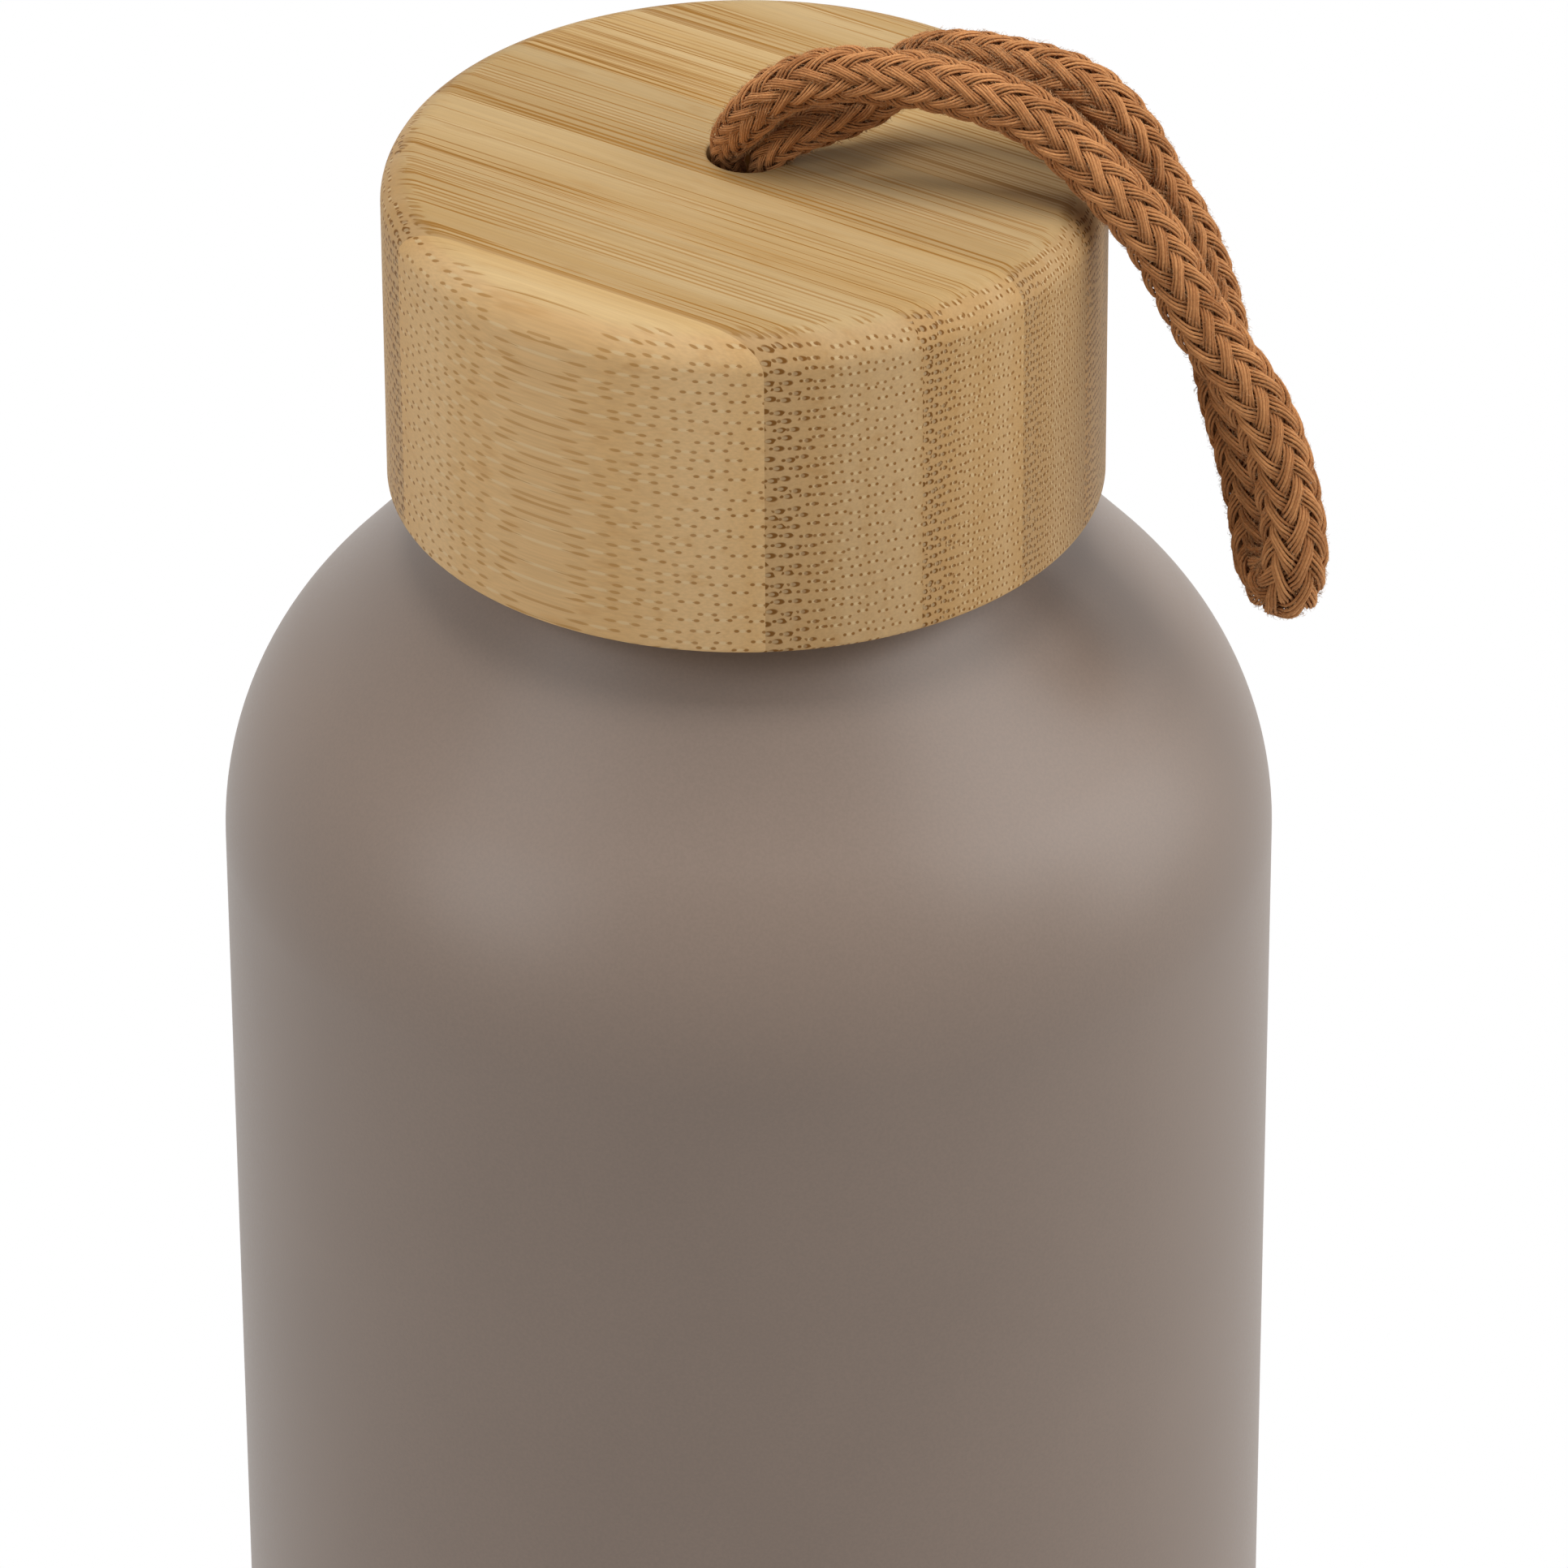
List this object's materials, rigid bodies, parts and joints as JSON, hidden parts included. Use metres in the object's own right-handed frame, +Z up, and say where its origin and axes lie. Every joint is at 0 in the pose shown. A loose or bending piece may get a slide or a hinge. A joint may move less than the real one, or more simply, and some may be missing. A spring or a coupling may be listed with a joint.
{
  "type": "drink bottle",
  "caption": "Double-walled painted steel drink bottle with a rounded shoulder, a bamboo screw cap on its threaded neck and a braided cord loop for carrying.",
  "frame": {"origin": "on the table, under the middle of the base", "axes": "+Z up along the bottle's axis, +X to the side on which the cord loop hangs, -Y to the viewer of the picture"},
  "size_m": [0.0728, 0.07, 0.2297],
  "materials": {
    "paint": "satin taupe paint with a very fine grain",
    "steel": "brushed",
    "copper": "bright copper foil",
    "getter": "matte sintered pellet",
    "solder": "opaque brown solder glass",
    "bamboo": "turned bamboo, thin satin oil",
    "plastic": "natural white, lightly textured",
    "silicone": "matte translucent white",
    "cotton": "round braid of brown cotton yarn"
  },
  "bodies": {
    "bottle": {"outer_shell": "paint", "inner_liner": "steel", "liner_base": "steel", "heat_foil": "copper", "getter_clip": "steel", "getter": "getter", "outer_base": "steel", "port_seal": "solder", "base_cover": "steel"},
    "seal": {"cap_gasket": "silicone"},
    "cap": {"bamboo_cap": "bamboo", "cap_insert": "plastic"},
    "cord": {"cord_loop": "cotton", "cord_knot": "cotton"}
  },
  "joints": [
    {"name": "cap_rise", "type": "slide", "parent": "bottle", "child": "seal", "axis": [0, 0, 1], "range_m": [0, 0.016]},
    {"name": "cap_turn", "type": "hinge", "parent": "seal", "child": "cap", "pos_m": [0, 0, 0.2], "axis": [0, 0, 1], "range_deg": [0, 1440]},
    {"name": "loop_swivel", "type": "hinge", "parent": "cap", "child": "cord", "pos_m": [0.0003, 0.0012, 0.22], "axis": [0, 0, 1], "continuous": true}
  ],
  "couplings": [
    {"joint": "cap_rise", "follows": "cap_turn", "m_per_rad": 0.00063662}
  ]
}
